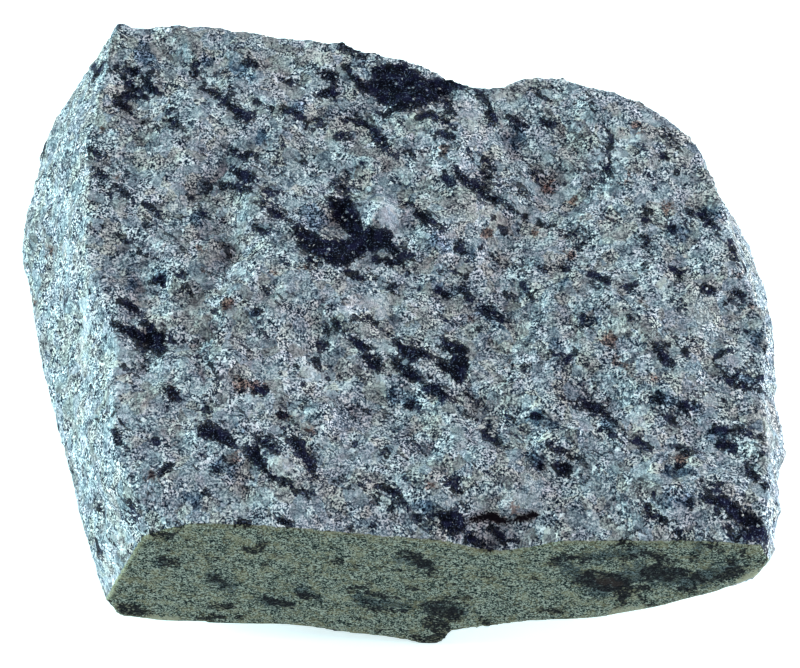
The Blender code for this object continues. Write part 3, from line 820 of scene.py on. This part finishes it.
    def _tone(self, sheet: NodeSheet, cells: tuple, grain: tuple, along: Value) -> Socket:
        """How light the feldspar is, around 0.5.

        Args:
            sheet: the material's nodes.
            cells: the coarse crystals, the fine ones and the specks.
            grain: the grit, and the share of a pale mark (paler feldspar, with painted highlights on lit
                rims).
            along: the point, drawn out along the foliation.

        Returns:
            The tone.
        """
        grit, clean = grain
        tone = self.base_tone
        for cell, share in zip(cells, self.crystal_tones):
            tone = sheet.scale(sheet.share(cell, 0), share, tone)
        flake = sheet.scale(sheet.share(cells[2], 0), 2.0, -1.0)
        flake = sheet.scale(sheet.scale(flake, flake), flake)
        busy = sheet.scale(sheet.share(cells[0], 2), self.busy_range, self.busy_least)
        busy = sheet.scale(clean, self.pale_calm, busy)
        flecks = sheet.scale(grit, self.grit_tone, -self.grit_tone / 2)
        flecks = sheet.scale(flake, self.flake_tone, flecks)
        tone = sheet.scale(flecks, busy, tone)
        cloud = sheet.grain(along, self.cloud_mm, detail=3.0, harsh=0.6)
        return sheet.scale(cloud, self.cloud_tone, tone)

    def _crystal_colour(
        self, sheet: NodeSheet, place: Value, coarse: bpy.types.Node, tone: Value
    ) -> Socket:
        """Colours the feldspar, cool with a warm grain here and there.

        Args:
            sheet: the material's nodes.
            place: the point, in millimetres.
            coarse: the coarse crystals.
            tone: how light it is.

        Returns:
            The colour.
        """
        cool = zip(self.cool_tones, (self.deep, self.slate, self.mid, self.pale, self.bright))
        warm = zip(self.warm_tones, (self.deep, self.umber, self.tan, self.cream))
        patch = sheet.grain(place, self.warm_patch_mm, detail=2.0)
        patch = sheet.scale(sheet.share(coarse, 1), self.warm_crystal, patch)
        share = sheet.scale(sheet.step(patch, *self.warm_edges), self.warm_most)
        colour = sheet.mix(share, sheet.ramp(tone, cool), sheet.ramp(tone, warm))
        return sheet.mix(self.mauve.lay(sheet, place), colour, self.mauve_tint, "MULTIPLY")

    def _dark(self, sheet: NodeSheet, places: tuple, edge: tuple) -> Socket:
        """1 in dark mineral: solid inside the marks, with loose flecks that thicken round them.

        Args:
            sheet: the material's nodes.
            places: the point drawn out along the foliation, bent and straight.
            edge: the specks, how far a mark's edge strays, and the share of a pale mark (paler feldspar,
                with painted highlights on lit rims).

        Returns:
            The share of dark mineral.
        """
        drawn, along = places
        speck, ragged, clean = edge
        field = sheet.field(Feature.DARK.value)
        solid = sheet.step(sheet.sum("ADD", field, ragged), *self.mark_edges)
        solid = sheet.scale(solid, sheet.step(sheet.share(speck, 1), *self.mark_gap_edges))
        core = sheet.step(field, *self.mark_core_edges)
        cover = sheet.scale(core, self.mark_cover_more, self.mark_cover)
        chance = sheet.grain(along, self.fleck_cloud_mm, detail=2.0)
        chance = sheet.scale(chance, self.fleck_cloud, self.fleck_chance)
        near = sheet.step(field, *self.fleck_near_edges)
        chance = sheet.scale(near, self.fleck_near_mark, chance)
        chance = sheet.scale(clean, self.fleck_in_pale, chance)
        fleck = sheet.share(sheet.crystals(drawn, self.fleck_mm), 0)
        loose = sheet.step(sheet.sum("SUBTRACT", fleck, chance), *self.fleck_edges)
        loose = sheet.scale(loose, self.fleck_cover)
        return sheet.sum("MAXIMUM", sheet.scale(solid, cover), loose)

    def _dark_colour(self, sheet: NodeSheet, place: Value) -> Socket:
        """Black mineral with blue faces and pale painted glints, which are painted highlights in its colour.
        """
        colour = sheet.mix(self.blue_faces.lay(sheet, place), self.black, self.navy)
        return sheet.mix(self.painted_glints.lay(sheet, place), colour, self.painted_glint)


@dataclass(frozen=True)
class SawnStone:
    """Colour and height of the saw cut: fine flat speckle, brown lenses and a tan rim."""

    dark_speck: Colour = srgb(14, 24, 28)
    dark_olive: Colour = srgb(50, 64, 60)
    olive: Colour = srgb(92, 104, 97)
    pale_olive: Colour = srgb(156, 163, 152)
    tones: tuple[float, ...] = (0.05, 0.28, 0.52, 0.95)
    sand: Colour = srgb(136, 130, 102)
    brown: Colour = srgb(8, 9, 16)
    brown_pale: Colour = srgb(24, 24, 30)
    rust: Colour = srgb(66, 50, 44)
    chip: Colour = srgb(158, 156, 134)
    slate_tint: Colour = srgb(160, 172, 190)

    grain_mm: float = 0.35
    grit: Patches = Patches(0.27, (0.40, 0.60), detail=1.0, harsh=0.5)
    base_tone: float = -0.78
    grit_tone: float = 0.84
    grain_tone: float = 0.90
    cloud_tone: float = 0.70
    cloud_mm: float = 1.5

    sand_mm: float = 2.2
    sand_grain: float = 0.25
    sand_edges: Edges = (0.56, 0.85)
    sand_most: float = 0.5
    ragged: Ragged = Ragged(1.0, 3.0, 0.5, detail=3.0, harsh=0.65)

    rim_edges: Edges = (1.7, 0.5)
    rim_most: float = 0.38
    chips: Patches = Patches(2.4, (0.42, 0.60), 0.42)
    chip_wander: float = 0.25
    chip_edges: Edges = (0.95, 0.60)
    shade_wander: float = 1.8
    shade_edges: Edges = (0.8, -0.8)
    lens_edges: Edges = (0.20, -0.10)
    lens_cover: float = 0.96
    lens_gap: float = -0.55
    lens_gap_edges: Edges = (0.72, 0.82)
    spot_edges: Edges = (0.2, -0.2)
    rust_most: float = 0.30
    pale_most: float = 0.7
    grit_height_mm: float = 0.03

    def lay(self, sheet: NodeSheet, place: Value, along: Value) -> tuple[Socket, Socket]:
        """Lays out the nodes.

        Args:
            sheet: the material's nodes.
            place: the point, in millimetres.
            along: the same point, turned and drawn out along the foliation.

        Returns:
            The colour, and the height in millimetres.
        """
        cells = sheet.crystals(place, self.grain_mm)
        grit = self.grit.lay(sheet, place)
        tone = sheet.scale(grit, self.grit_tone, self.base_tone)
        tone = sheet.scale(sheet.share(cells, 0), self.grain_tone, tone)
        cloud = sheet.grain(along, self.cloud_mm, detail=3.0, harsh=0.6)
        tone = sheet.scale(cloud, self.cloud_tone, tone)
        stops = zip(self.tones, (self.dark_speck, self.dark_olive, self.olive, self.pale_olive))
        colour = sheet.ramp(tone, stops)
        sand = sheet.grain(place, self.sand_mm, detail=3.0)
        sand = sheet.scale(sheet.share(cells, 1), self.sand_grain, sand)
        sand = sheet.scale(sheet.step(sand, *self.sand_edges), self.sand_most)
        colour = sheet.mix(sand, colour, self.sand)
        ragged = self.ragged.lay(sheet, place, cells)
        colour = self._rim(sheet, place, ragged, colour)
        shade = sheet.scale(ragged, self.shade_wander, sheet.field(Feature.SLATE.value))
        colour = sheet.mix(sheet.step(shade, *self.shade_edges), colour, self.slate_tint, "MULTIPLY")
        colour = self._lenses(sheet, cells, ragged, colour)
        spots = ((Feature.RUST, self.rust, self.rust_most), (Feature.PALE_AND_LIT, self.chip, self.pale_most))
        for feature, tint, most in spots:
            inside = sheet.step(sheet.sum("ADD", sheet.field(feature.value), ragged), *self.spot_edges)
            colour = sheet.mix(sheet.scale(inside, most), colour, tint)
        return colour, sheet.scale(grit, self.grit_height_mm)

    def _rim(self, sheet: NodeSheet, place: Value, ragged: Value, colour: Value) -> Socket:
        """Lays the cut's tan rim, with pale chips along its edge in places.

        Args:
            sheet: the material's nodes.
            place: the point, in millimetres.
            ragged: how far edges stray, in millimetres.
            colour: what lies under it.

        Returns:
            The colour with the rim.
        """
        rim = sheet.step(sheet.sum("ADD", sheet.field(RIM_FIELD), ragged), *self.rim_edges)
        colour = sheet.mix(sheet.scale(rim, self.rim_most), colour, self.sand)
        edge = sheet.scale(ragged, self.chip_wander, sheet.field(RIM_FIELD))
        chipped = sheet.scale(self.chips.lay(sheet, place), sheet.step(edge, *self.chip_edges))
        return sheet.mix(chipped, colour, self.chip)

    def _lenses(self, sheet: NodeSheet, cells: bpy.types.Node, ragged: Value, colour: Value) -> Socket:
        """Lays the brown lenses, with olive grains showing through them.

        Args:
            sheet: the material's nodes.
            cells: the cut's grains.
            ragged: how far edges stray, in millimetres.
            colour: what lies under them.

        Returns:
            The colour with the lenses.
        """
        dark = sheet.step(sheet.sum("ADD", sheet.field(Feature.DARK.value), ragged), *self.lens_edges)
        lens = sheet.mix(sheet.share(cells, 0), self.brown, self.brown_pale)
        gap = sheet.step(sheet.share(cells, 1), *self.lens_gap_edges)
        mottle = sheet.scale(gap, self.lens_gap, self.lens_cover)
        return sheet.mix(sheet.scale(dark, mottle), colour, lens)


@dataclass(frozen=True)
class StoneFinish:
    """The stone's one material, which tells broken from sawn by a field on the mesh."""

    name: str = "anorthosite_stone"
    broken: BrokenStone = BrokenStone()
    sawn: SawnStone = SawnStone()
    foliation: Foliation = Foliation()
    draw_out: float = 0.36
    refraction: float = 1.54
    shine: float = 0.02
    gloss: Patches = Patches(0.35, (0.3, 0.6), detail=1.0)
    smoothest: float = 0.38
    roughest: float = 0.85
    line_mm: float = 0.9
    line_wander_mm: float = 0.5
    line_edges: Edges = (0.62, 0.50)

    def make(self) -> bpy.types.Material:
        """Makes the material.

        Returns:
            The material.
        """
        sheet = NodeSheet(self.name)
        place = self._place(sheet)
        along = self._along(sheet, place)
        share = self._sawn_share(sheet, place)
        broken_colour, broken_height = self.broken.lay(sheet, place, along)
        sawn_colour, sawn_height = self.sawn.lay(sheet, place, along)
        height = sheet.between(share, broken_height, sawn_height)
        bump = sheet.add("Bump", {"Height": height, "Strength": 1.0, "Distance": MM})
        limits = {"Value": self.gloss.lay(sheet, place), "To Min": self.smoothest, "To Max": self.roughest}
        roughness = sheet.add("MapRange", limits).outputs["Result"]
        sheet.put(sheet.shader.inputs["Base Color"], sheet.mix(share, broken_colour, sawn_colour))
        sheet.put(sheet.shader.inputs["Roughness"], roughness)
        sheet.put(sheet.shader.inputs["Normal"], bump.outputs["Normal"])
        sheet.shader.inputs["IOR"].default_value = self.refraction
        sheet.shader.inputs["Specular IOR Level"].default_value = self.shine
        return sheet.material

    def _place(self, sheet: NodeSheet) -> Socket:
        """The point on the stone in millimetres."""
        inputs = {0: sheet.add("TexCoord").outputs["Object"], "Scale": 1.0 / MM}
        return sheet.add("VectorMath", inputs, operation="SCALE").outputs["Vector"]

    def _along(self, sheet: NodeSheet, place: Value) -> Socket:
        """Turns the point onto the foliation and draws it out along it.

        Args:
            sheet: the material's nodes.
            place: the point, in millimetres.

        Returns:
            The point so changed.
        """
        turned = sheet.add("Mapping", {"Vector": place}, vector_type="POINT")
        turned.inputs["Rotation"].default_value = self.foliation.matrix.to_euler()
        return sheet.vector("MULTIPLY", turned.outputs["Vector"], (self.draw_out, 1.0, 1.0))

    def _sawn_share(self, sheet: NodeSheet, place: Value) -> Socket:
        """Tells the saw cut from broken stone, with a ragged line between them.

        Args:
            sheet: the material's nodes.
            place: the point, in millimetres.

        Returns:
            1 on the cut and 0 on broken stone.
        """
        cloud = sheet.grain(place, self.line_mm, detail=3.0)
        ragged = sheet.scale(cloud, self.line_wander_mm, sheet.field(SAW_FIELD))
        return sheet.step(ragged, *self.line_edges)


@dataclass(frozen=True)
class Relief:
    """Height of the broken surface: lumps along the foliation, then crystals, then grains."""

    foliation: Foliation = Foliation()
    draw_out: float = 2.4
    lump_mm: float = 3.4
    lump_height_mm: float = 0.24
    lump_smoothness: float = 0.7
    lump_finer: float = 2.1
    lump_layers: int = 3
    crystal_mm: float = 2.3
    crystal_height_mm: float = 0.17
    grain_mm: float = 1.25
    grain_height_mm: float = 0.17
    lean_scale: float = 7.31
    lean_step: float = 0.35

    def heights_mm(self, points: np.ndarray) -> np.ndarray:
        """Measures the relief.

        Args:
            points: places on the stone, in millimetres.

        Returns:
            The height at each place.
        """
        turned = points @ np.array(self.foliation.matrix).T
        turned[:, 0] /= self.draw_out
        lumps = self.lump_height_mm * sample(turned, self.lump_mm, self._lump)
        crystals = self.crystal_height_mm * sample(points, self.crystal_mm, self._crystal)
        grains = self.grain_height_mm * sample(points, self.grain_mm, self._crystal)
        return lumps + crystals + grains

    def _lump(self, place: Vector) -> float:
        """Height of the lumps."""
        return noise.fractal(place, self.lump_smoothness, self.lump_finer, self.lump_layers)

    def _crystal(self, place: Vector) -> float:
        """Measures a crystal's flat face, which leans its own way and stands in or out a little.

        Args:
            place: the point, in units of the crystals' size.

        Returns:
            The face's height there, in the same units.
        """
        centre = noise.voronoi(place)[1][0]
        lean = 2.0 * noise.cell_vector(centre * self.lean_scale) - Vector((1.0, 1.0, 1.0))
        return (place - centre).dot(lean) + self.lean_step * lean.x


@dataclass(frozen=True)
class StrayStreaks:
    """Small streaks along the foliation, drawn at random from a fixed seed.

    Those of the first kind are small and lie all over the stone. Those of the second kind are
    larger and lie only where the picture hides the stone or barely shows it, because few of the
    placed marks are there.
    """

    foliation: Foliation = Foliation()
    seed: int = 41
    count: int = 300
    hidden_count: int = 420
    hidden_growth: float = 2.3
    hidden_facing: float = 0.15
    right_facing: float = 0.38
    right_side: float = 0.5
    steepest: float = 0.5
    half_length_mm: tuple[float, float] = (0.5, 2.6)
    wander_mm: float = 0.25
    radius_mm: tuple[float, float] = (0.12, 0.5)
    radius_share: tuple[float, float] = (0.6, 1.2)
    end_share: float = 0.4

    def draw(self, node: bpy.types.Object, back: Vector) -> list[list[Laid]]:
        """Draws the streaks.

        Args:
            node: the solid they lie on.
            back: the direction from the stone to the camera.

        Returns:
            Each streak's dabs.
        """
        chooser = random.Random(self.seed)
        low, high = (corner * MM_PER_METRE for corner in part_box(node.name))
        found = []
        for _ in range(self.count):
            spot = Vector(chooser.uniform(low[i], high[i]) for i in range(3))
            place = node.closest_point_on_mesh(spot * MM)[1]
            found.append(self._streak(chooser, place, 1.0))
        centre = (low + high) / 2 * MM
        for _ in range(self.hidden_count):
            turn = chooser.uniform(0.0, math.tau)
            rise = chooser.uniform(-self.steepest, self.steepest)
            outward = Vector((math.cos(turn), math.sin(turn), rise))
            hit, place, normal, _ = node.ray_cast(centre + outward, -outward)
            limit = self.right_facing if normal.x > self.right_side else self.hidden_facing
            if hit and normal.dot(back) < limit:
                found.append(self._streak(chooser, place, self.hidden_growth))
        return found

    def _streak(self, chooser: random.Random, place: Vector, growth: float) -> list[Laid]:
        """Draws one streak: three dabs along the foliation, the middle one thickest.

        Args:
            chooser: draws its length, direction and thickness.
            place: its middle, in metres.
            growth: how many times larger than usual it is.

        Returns:
            The places and radii of its dabs, in millimetres.
        """
        half = self.foliation.direction * chooser.uniform(*self.half_length_mm)
        half += Vector(chooser.gauss(0.0, self.wander_mm) for _ in range(3))
        radius = chooser.uniform(*self.radius_mm) * chooser.uniform(*self.radius_share) * growth
        middle = np.array(place) / MM
        half = np.array(half) * growth
        end = radius * self.end_share
        return [(middle - half, end), (middle, radius), (middle + half, end)]


@dataclass
class StoneBlock:
    """The visible block: the frame's solid with its fine surface."""

    view: PictureView
    node: bpy.types.Object
    name: str = "anorthosite_skin"
    voxel: float = 0.00062
    weld: float = 1e-6
    finish: StoneFinish = StoneFinish()
    relief: Relief = Relief()
    streaks: StrayStreaks = StrayStreaks()
    far_mm: float = 4.0
    shortest_mm2: float = 1e-9
    crack_depth_mm: float = 0.9
    crack_half_mm: float = 0.8
    saw_calm_mm: float = 1.2
    foot_calm_mm: float = 0.8
    front_facing: float = -0.9
    rim_near_mm: float = 0.5
    rim_far_mm: float = 2.0

    def build(self) -> bpy.types.Object:
        """Builds and dresses the block.

        Returns:
            The finished piece, which rides on the frame.
        """
        piece = self._remesh()
        places, normals = self._read(piece)
        saw_mm = self._behind_saw(places)
        from_crack = self._field_mm(Feature.CRACK, places / MM) / self.crack_half_mm
        heights = self.relief.heights_mm(places / MM) * np.clip(saw_mm / self.saw_calm_mm, 0.0, 1.0)
        heights -= self.crack_depth_mm * np.clip(1.0 - from_crack, 0.0, 1.0)
        foot = np.clip(places[:, 2] / MM / self.foot_calm_mm, 0.0, 1.0)
        places = places + normals * (heights * foot)[:, None] * MM
        piece.data.vertices.foreach_set("co", places.astype(np.float32).ravel())
        self._write(piece, SAW_FIELD, saw_mm)
        self._write(piece, RIM_FIELD, self._from_rim(places / MM, saw_mm))
        for feature in Feature:
            self._write(piece, feature.value, self._field_mm(feature, places / MM))
        piece.data.shade_smooth()
        piece.data.materials.clear()
        piece.data.materials.append(self.finish.make())
        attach(piece, "root")
        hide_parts(self.node.name)
        return piece

    def _remesh(self) -> bpy.types.Object:
        """Copies the solid's surface into even small faces.

        Returns:
            The copy, already in the scene.
        """
        mesh = self.node.data.copy()
        piece = bpy.data.objects.new(self.name, mesh)
        bpy.context.scene.collection.objects.link(piece)
        weld = piece.modifiers.new("weld", "WELD")
        weld.merge_threshold = self.weld
        remesh = piece.modifiers.new("even", "REMESH")
        remesh.mode = "VOXEL"
        remesh.voxel_size = self.voxel
        depsgraph = bpy.context.evaluated_depsgraph_get()
        piece.data = bpy.data.meshes.new_from_object(piece.evaluated_get(depsgraph))
        piece.modifiers.clear()
        bpy.data.meshes.remove(mesh)
        piece.data.name = self.name
        return piece

    def _read(self, piece: bpy.types.Object) -> tuple[np.ndarray, np.ndarray]:
        """Reads the piece's points.

        Args:
            piece: the piece.

        Returns:
            Their places and their normals.
        """
        count = len(piece.data.vertices)
        places = np.empty(count * 3)
        normals = np.empty(count * 3)
        piece.data.vertices.foreach_get("co", places)
        piece.data.vertex_normals.foreach_get("vector", normals)
        return places.reshape(-1, 3), normals.reshape(-1, 3)

    def _write(self, piece: bpy.types.Object, name: str, values: np.ndarray) -> None:
        """Puts a field on the piece's points."""
        layer = piece.data.attributes.new(name, "FLOAT", "POINT")
        layer.data.foreach_set("value", values.astype(np.float32))

    def _behind_saw(self, places: np.ndarray) -> np.ndarray:
        """Measures how far each point lies behind the saw cut.

        Args:
            places: the points, in metres.

        Returns:
            The distances, in millimetres.
        """
        front = (face for face in self.node.data.polygons if face.normal.y < self.front_facing)
        cut = max(front, key=lambda face: face.area)
        return -(places - np.array(cut.center)) @ np.array(cut.normal) * MM_PER_METRE

    def _from_rim(self, points: np.ndarray, saw_mm: np.ndarray) -> np.ndarray:
        """Measures how far each point of the saw cut lies from its rim.

        Args:
            points: the mesh's points, in millimetres.
            saw_mm: how far each lies behind the cut.

        Returns:
            The distance in millimetres, or far_mm on broken stone.
        """
        outside = np.flatnonzero((saw_mm > self.rim_near_mm) & (saw_mm < self.rim_far_mm))
        tree = KDTree(len(outside))
        for index in outside:
            tree.insert(points[index], index)
        tree.balance()
        away = np.full(len(points), self.far_mm)
        for index in np.flatnonzero(saw_mm <= self.rim_near_mm):
            away[index] = min(self.far_mm, tree.find(points[index])[2])
        return away

    def _field_mm(self, feature: Feature, points: np.ndarray) -> np.ndarray:
        """Measures how far each point lies outside the marks of one kind.

        Args:
            feature: the kind.
            points: the mesh's points, in millimetres.

        Returns:
            The distance in millimetres, less than 0 inside a mark.
        """
        nearest = np.full(len(points), self.far_mm)
        flat = self.view.flatten(points)
        for mark in ALL_MARKS:
            if mark.feature is feature:
                self._lay(nearest, flat, [dab for dab in map(self._on_stone, mark.dabs) if dab])
        if feature is Feature.DARK:
            for dabs in self.streaks.draw(self.node, self.view.back):
                self._lay(nearest, points, dabs)
        return np.maximum(nearest, -self.far_mm)

    def _lay(self, nearest: np.ndarray, points: np.ndarray, dabs: list[Laid]) -> None:
        """Lays one mark into a field.

        Args:
            nearest: the field in millimetres, which is changed.
            points: its points.
            dabs: the mark's places and radii, in millimetres.
        """
        chain = dabs if len(dabs) > 1 else dabs * 2
        for (start, start_r), (end, end_r) in zip(chain, chain[1:]):
            line = end - start
            reach = np.linalg.norm(line) / 2 + max(start_r, end_r) + self.far_mm
            close = np.flatnonzero(np.abs(points - (start + end) / 2).max(axis=1) < reach)
            length = max(line @ line, self.shortest_mm2)
            share = np.clip((points[close] - start) @ line / length, 0.0, 1.0)
            away = np.linalg.norm(points[close] - start - share[:, None] * line, axis=1)
            away -= start_r + share * (end_r - start_r)
            nearest[close] = np.minimum(nearest[close], away)

    def _on_stone(self, dab: Dab) -> Laid | None:
        """Lays a dab of the picture on the stone, pressed along the view.

        Args:
            dab: its place and radius in picture pixels.

        Returns:
            Its place and radius in millimetres, or None where it misses the stone.
        """
        x_px, y_px, radius_px = dab
        hit, place, _, _ = self.node.ray_cast(self.view.eye, self.view.ray(x_px, y_px))
        if not hit:
            return None
        return self.view.flatten(np.array(place) / MM), radius_px * self.view.pixel / MM


def sample(points: np.ndarray, spacing: float, measure: Callable[[Vector], float]) -> np.ndarray:
    """A noise's value at many points.

    Args:
        points: the places.
        spacing: the length that is one unit for the noise.
        measure: the noise.

    Returns:
        One value for each place.
    """
    return np.fromiter((measure(Vector(p)) for p in points / spacing), float, len(points))


@dataclass(frozen=True)
class FloorFinish:
    """Plain pale paint."""

    name: str = "pale_floor"
    colour: Colour = (0.90, 0.94, 0.95, 1.0)
    roughness: float = 0.9
    glow_colour: Colour = (0.86, 1.0, 1.0, 1.0)
    glow: float = 0.62

    def make(self) -> bpy.types.Material:
        """Makes the floor's material.

        Returns:
            The material.
        """
        sheet = NodeSheet(self.name)
        sheet.shader.inputs["Base Color"].default_value = self.colour
        sheet.shader.inputs["Roughness"].default_value = self.roughness
        sheet.shader.inputs["Emission Color"].default_value = self.glow_colour
        sheet.shader.inputs["Emission Strength"].default_value = self.glow
        return sheet.material


@dataclass(frozen=True)
class Softbox:
    """A soft square light that looks at the stone."""

    name: str
    place: tuple[float, float, float]
    size: float
    watts: float
    colour: tuple[float, float, float]

    def build(self, target: Vector) -> None:
        """Hangs the light and turns it.

        Args:
            target: the point that it looks at.
        """
        data = bpy.data.lights.new(self.name, "AREA")
        data.size = self.size
        data.energy = self.watts
        data.color = self.colour
        lamp = bpy.data.objects.new(self.name, data)
        lamp.location = self.place
        lamp.rotation_euler = (target - Vector(self.place)).to_track_quat("-Z", "Y").to_euler()
        bpy.context.scene.collection.objects.link(lamp)


@dataclass
class Studio:
    """The floor, the lights and the camera."""

    view: PictureView
    softboxes: tuple[Softbox, ...] = (
        Softbox("left_softbox", (-2.8, 0.35, 0.75), 1.1, 178.0, (0.65, 1.0, 0.965)),
        Softbox("right_softbox", (2.7, 0.15, 0.42), 1.2, 200.0, (0.80, 1.0, 1.0)),
        Softbox("overhead_softbox", (0.2, 0.3, 2.6), 1.4, 12.0, (0.97, 0.96, 1.0)),
    )
    floor_half: float = 4.0
    sky: Colour = (0.92, 0.92, 1.0, 1.0)
    sky_strength: float = 0.28

    def build(self) -> bpy.types.Object:
        """Sets up everything round the stone.

        Returns:
            The floor.
        """
        self.view.make_camera()
        for softbox in self.softboxes:
            softbox.build(Vector(self.view.target))
        self._sky()
        bpy.context.scene.view_settings.view_transform = "Standard"
        return self._floor()

    def _sky(self) -> None:
        """Sets even light from all round."""
        world = bpy.data.worlds.new("studio")
        world.use_nodes = True
        background = world.node_tree.nodes["Background"]
        background.inputs["Color"].default_value = self.sky
        background.inputs["Strength"].default_value = self.sky_strength
        bpy.context.scene.world = world

    def _floor(self) -> bpy.types.Object:
        """Lays a plain pale floor under the stone.

        Returns:
            The floor.
        """
        half = self.floor_half
        outline = [(-half, -half, 0.0), (half, -half, 0.0), (half, half, 0.0), (-half, half, 0.0)]
        mesh = bpy.data.meshes.new("studio_floor")
        mesh.from_pydata(outline, [], [(0, 1, 2, 3)])
        mesh.materials.append(FloorFinish().make())
        floor = bpy.data.objects.new("studio_floor", mesh)
        bpy.context.scene.collection.objects.link(floor)
        return floor


def main() -> None:
    """Builds the stone and its studio."""
    logging.basicConfig(level=logging.INFO, format="%(name)s: %(message)s")
    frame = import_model()
    view = PictureView()
    block = StoneBlock(view, frame["nodes"]["anorthosite_block"]).build()
    LOG.info("%s has %d points and %d faces", block.name, len(block.data.vertices), len(block.data.polygons))
    floor = Studio(view).build()
    LOG.info("%s is in place", floor.name)
    bpy.context.view_layer.update()


if __name__ == "__main__":
    main()
